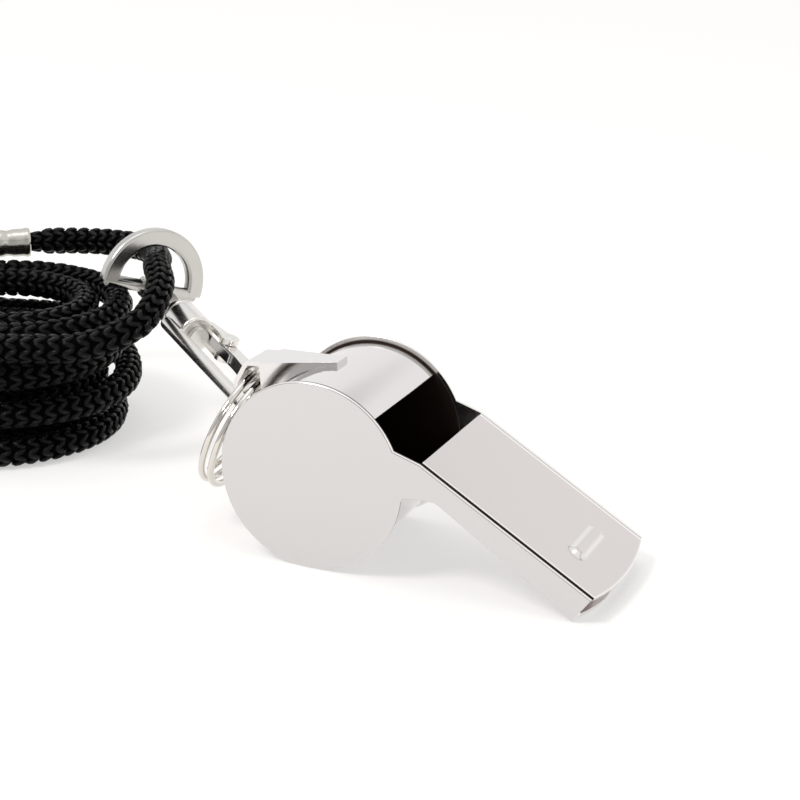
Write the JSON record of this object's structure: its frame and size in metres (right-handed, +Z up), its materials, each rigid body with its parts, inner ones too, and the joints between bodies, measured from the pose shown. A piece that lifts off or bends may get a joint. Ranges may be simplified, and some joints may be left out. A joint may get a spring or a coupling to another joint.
{
  "type": "sports whistle",
  "caption": "Stamped metal pea whistle with flat cheeks and a cork ball, on a split ring with a swivel snap hook and a coiled knitted neck cord.",
  "frame": {"origin": "on the table under the middle of the barrel's axis, as the whistle lies at rest", "axes": "+X towards the mouth along the table, +Y along the barrel to the far cheek, +Z up"},
  "size_m": [0.1185, 0.0463, 0.0248],
  "materials": {
    "cheek_plate": "satin plated",
    "body_plate": "bright plated",
    "cork": "matte cork",
    "ring_wire": "bright plated",
    "hook_metal": "plated casting",
    "spring_strip": "spring strip",
    "sleeve_metal": "plated, crimped",
    "cord_knit": "knitted black polyester"
  },
  "bodies": {
    "whistle": {"near_cheek": "cheek_plate", "far_cheek": "cheek_plate", "barrel_band": "body_plate", "mouthpiece_roof": "body_plate", "ring_lug": "body_plate"},
    "pea": {"pea": "cork"},
    "ring": {"split_ring": "ring_wire"},
    "hook": {"hook_body": "hook_metal", "gate_pin": "hook_metal", "gate_spring": "spring_strip"},
    "gate": {"hook_gate": "hook_metal"},
    "post": {"swivel_post": "hook_metal"},
    "lanyard": {"d_ring": "hook_metal", "cord_sleeve": "sleeve_metal", "cord_top_stretch": "cord_knit", "cord_coil": "cord_knit", "cord_return_stretch": "cord_knit"}
  },
  "joints": [
    {"name": "pea_orbit", "type": "hinge", "parent": "whistle", "child": "pea", "pos_m": [0, 0, 0.0105], "axis": [0, 1, 0], "continuous": true},
    {"name": "ring_swing", "type": "hinge", "parent": "whistle", "child": "ring", "pos_m": [-0.01043, 0, 0.01739], "axis": [0, 1, 0], "range_deg": [0, 35]},
    {"name": "hook_swing", "type": "hinge", "parent": "ring", "child": "hook", "pos_m": [-0.01297, 0.0063, 0.01108], "axis": [-0.3746, 0, -0.9272], "range_deg": [-30, 10]},
    {"name": "gate_hinge", "type": "hinge", "parent": "hook", "child": "gate", "pos_m": [-0.02388, 0.01741, 0.01342], "axis": [-0.2779, -0.0713, -0.958], "range_deg": [0, 12], "stiffness_Nm_per_rad": 0.004, "deforming": ["gate_spring"]},
    {"name": "swivel", "type": "hinge", "parent": "hook", "child": "post", "pos_m": [-0.02774, 0.01688, 0.01458], "axis": [-0.7984, 0.5716, 0.1891], "continuous": true},
    {"name": "eye_tilt", "type": "hinge", "parent": "post", "child": "lanyard", "pos_m": [-0.03852, 0.02459, 0.01713], "axis": [0.5061, 0.8073, -0.3034], "range_deg": [-20, 10]}
  ]
}
